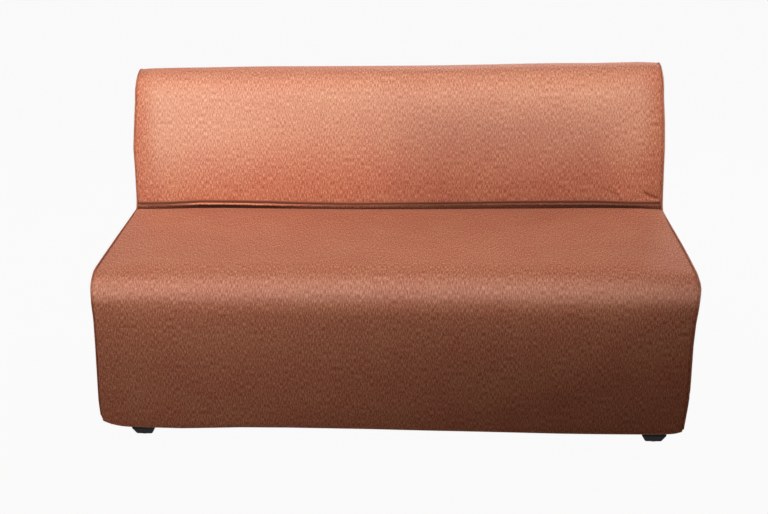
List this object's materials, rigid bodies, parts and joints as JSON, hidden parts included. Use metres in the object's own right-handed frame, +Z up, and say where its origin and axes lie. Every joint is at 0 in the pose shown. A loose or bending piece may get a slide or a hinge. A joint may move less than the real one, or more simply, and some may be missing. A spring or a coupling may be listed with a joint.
{
  "type": "modular sofa unit",
  "caption": "Armless upholstered sofa unit: one L-shaped seat block and back in salmon woven cloth, welted ends, low screw feet and link plates.",
  "frame": {"origin": "on the floor, under the middle of the unit's outer box", "axes": "+X to the right seen from the front, -Y the front that the sitter's legs face, +Z up"},
  "size_m": [1.4, 0.72, 0.78],
  "materials": {
    "cover_cloth": "salmon and terracotta melange weave, matt with a faint sheen",
    "welt_cloth": "the cover cloth on the bias round a thin cord",
    "foam": "pale open-cell foam",
    "pad_foam": "thin pale foam sheet",
    "wadding": "white polyester wadding",
    "felt": "grey needled felt",
    "webbing": "dark elastic webbing",
    "pine": "sawn softwood",
    "plywood": "sanded plywood",
    "hardboard": "brown hardboard",
    "zinc_steel": "bright zinc",
    "screw_steel": "yellow zinc",
    "dust_cloth": "black non-woven cloth",
    "foot_plastic": "black moulded plastic, satin",
    "glide_nylon": "black nylon",
    "washer_nylon": "natural nylon"
  },
  "bodies": {
    "base": {"back_centre_post": "pine", "back_cover": "cover_cloth", "back_foam": "foam", "back_lower_rail": "pine", "back_straps": "webbing", "back_top_rail": "pine", "back_wadding": "wadding", "base_centre_stretcher": "pine", "crease_band": "cover_cloth", "cross_straps": "webbing", "dust_cover": "dust_cloth", "foot_blocks": "pine", "foot_plates": "zinc_steel", "frame_screws": "screw_steel", "front_board": "hardboard", "front_bottom_rail": "pine", "front_centre_post": "pine", "front_foam": "foam", "front_top_rail": "pine", "left_end_panel": "plywood", "left_side_cover": "cover_cloth", "left_side_pad": "pad_foam", "left_welt": "welt_cloth", "link_blocks": "pine", "link_pivot_bolts": "zinc_steel", "link_washers": "washer_nylon", "outside_back_board": "hardboard", "outside_back_cover": "cover_cloth", "rear_bottom_rail": "pine", "rear_pad": "pad_foam", "right_end_panel": "plywood", "right_side_cover": "cover_cloth", "right_side_pad": "pad_foam", "right_welt": "welt_cloth", "seat_centre_brace": "pine", "seat_cleats": "pine", "seat_cover": "cover_cloth", "seat_felt": "felt", "seat_foam": "foam", "seat_rail_post": "pine", "seat_rear_rail": "pine", "seat_straps": "webbing", "seat_wadding": "wadding", "threaded_inserts": "zinc_steel", "tuck_rail": "pine"},
    "foot_front_left": {"foot_front_left": "foot_plastic", "stud_front_left": "zinc_steel"},
    "glide_front_left": {"glide_front_left": "glide_nylon"},
    "foot_front_right": {"foot_front_right": "foot_plastic", "stud_front_right": "zinc_steel"},
    "glide_front_right": {"glide_front_right": "glide_nylon"},
    "foot_rear_left": {"foot_rear_left": "foot_plastic", "stud_rear_left": "zinc_steel"},
    "glide_rear_left": {"glide_rear_left": "glide_nylon"},
    "foot_rear_right": {"foot_rear_right": "foot_plastic", "stud_rear_right": "zinc_steel"},
    "glide_rear_right": {"glide_rear_right": "glide_nylon"},
    "link_plate_front": {"link_plate_front": "zinc_steel"},
    "link_plate_rear": {"link_plate_rear": "zinc_steel"}
  },
  "joints": [
    {"name": "level_front_left", "type": "slide", "parent": "base", "child": "glide_front_left", "axis": [0, 0, -1], "range_m": [0, 0.01]},
    {"name": "turn_front_left", "type": "hinge", "parent": "glide_front_left", "child": "foot_front_left", "pos_m": [-0.602, -0.292, 0.02], "axis": [0, 0, 1], "range_deg": [0, 2880]},
    {"name": "level_front_right", "type": "slide", "parent": "base", "child": "glide_front_right", "axis": [0, 0, -1], "range_m": [0, 0.01]},
    {"name": "turn_front_right", "type": "hinge", "parent": "glide_front_right", "child": "foot_front_right", "pos_m": [0.624, -0.292, 0.02], "axis": [0, 0, 1], "range_deg": [0, 2880]},
    {"name": "level_rear_left", "type": "slide", "parent": "base", "child": "glide_rear_left", "axis": [0, 0, -1], "range_m": [0, 0.01]},
    {"name": "turn_rear_left", "type": "hinge", "parent": "glide_rear_left", "child": "foot_rear_left", "pos_m": [-0.602, 0.28, 0.02], "axis": [0, 0, 1], "range_deg": [0, 2880]},
    {"name": "level_rear_right", "type": "slide", "parent": "base", "child": "glide_rear_right", "axis": [0, 0, -1], "range_m": [0, 0.01]},
    {"name": "turn_rear_right", "type": "hinge", "parent": "glide_rear_right", "child": "foot_rear_right", "pos_m": [0.624, 0.28, 0.02], "axis": [0, 0, 1], "range_deg": [0, 2880]},
    {"name": "swing_link_front", "type": "hinge", "parent": "base", "child": "link_plate_front", "pos_m": [0.631, -0.19, 0.0336], "axis": [0, 0, -1], "range_deg": [0, 90]},
    {"name": "swing_link_rear", "type": "hinge", "parent": "base", "child": "link_plate_rear", "pos_m": [0.631, 0.19, 0.0336], "axis": [0, 0, 1], "range_deg": [0, 90]}
  ],
  "couplings": [
    {"joint": "level_front_left", "follows": "turn_front_left", "m_per_rad": 0.00019894},
    {"joint": "level_front_right", "follows": "turn_front_right", "m_per_rad": 0.00019894},
    {"joint": "level_rear_left", "follows": "turn_rear_left", "m_per_rad": 0.00019894},
    {"joint": "level_rear_right", "follows": "turn_rear_right", "m_per_rad": 0.00019894}
  ]
}
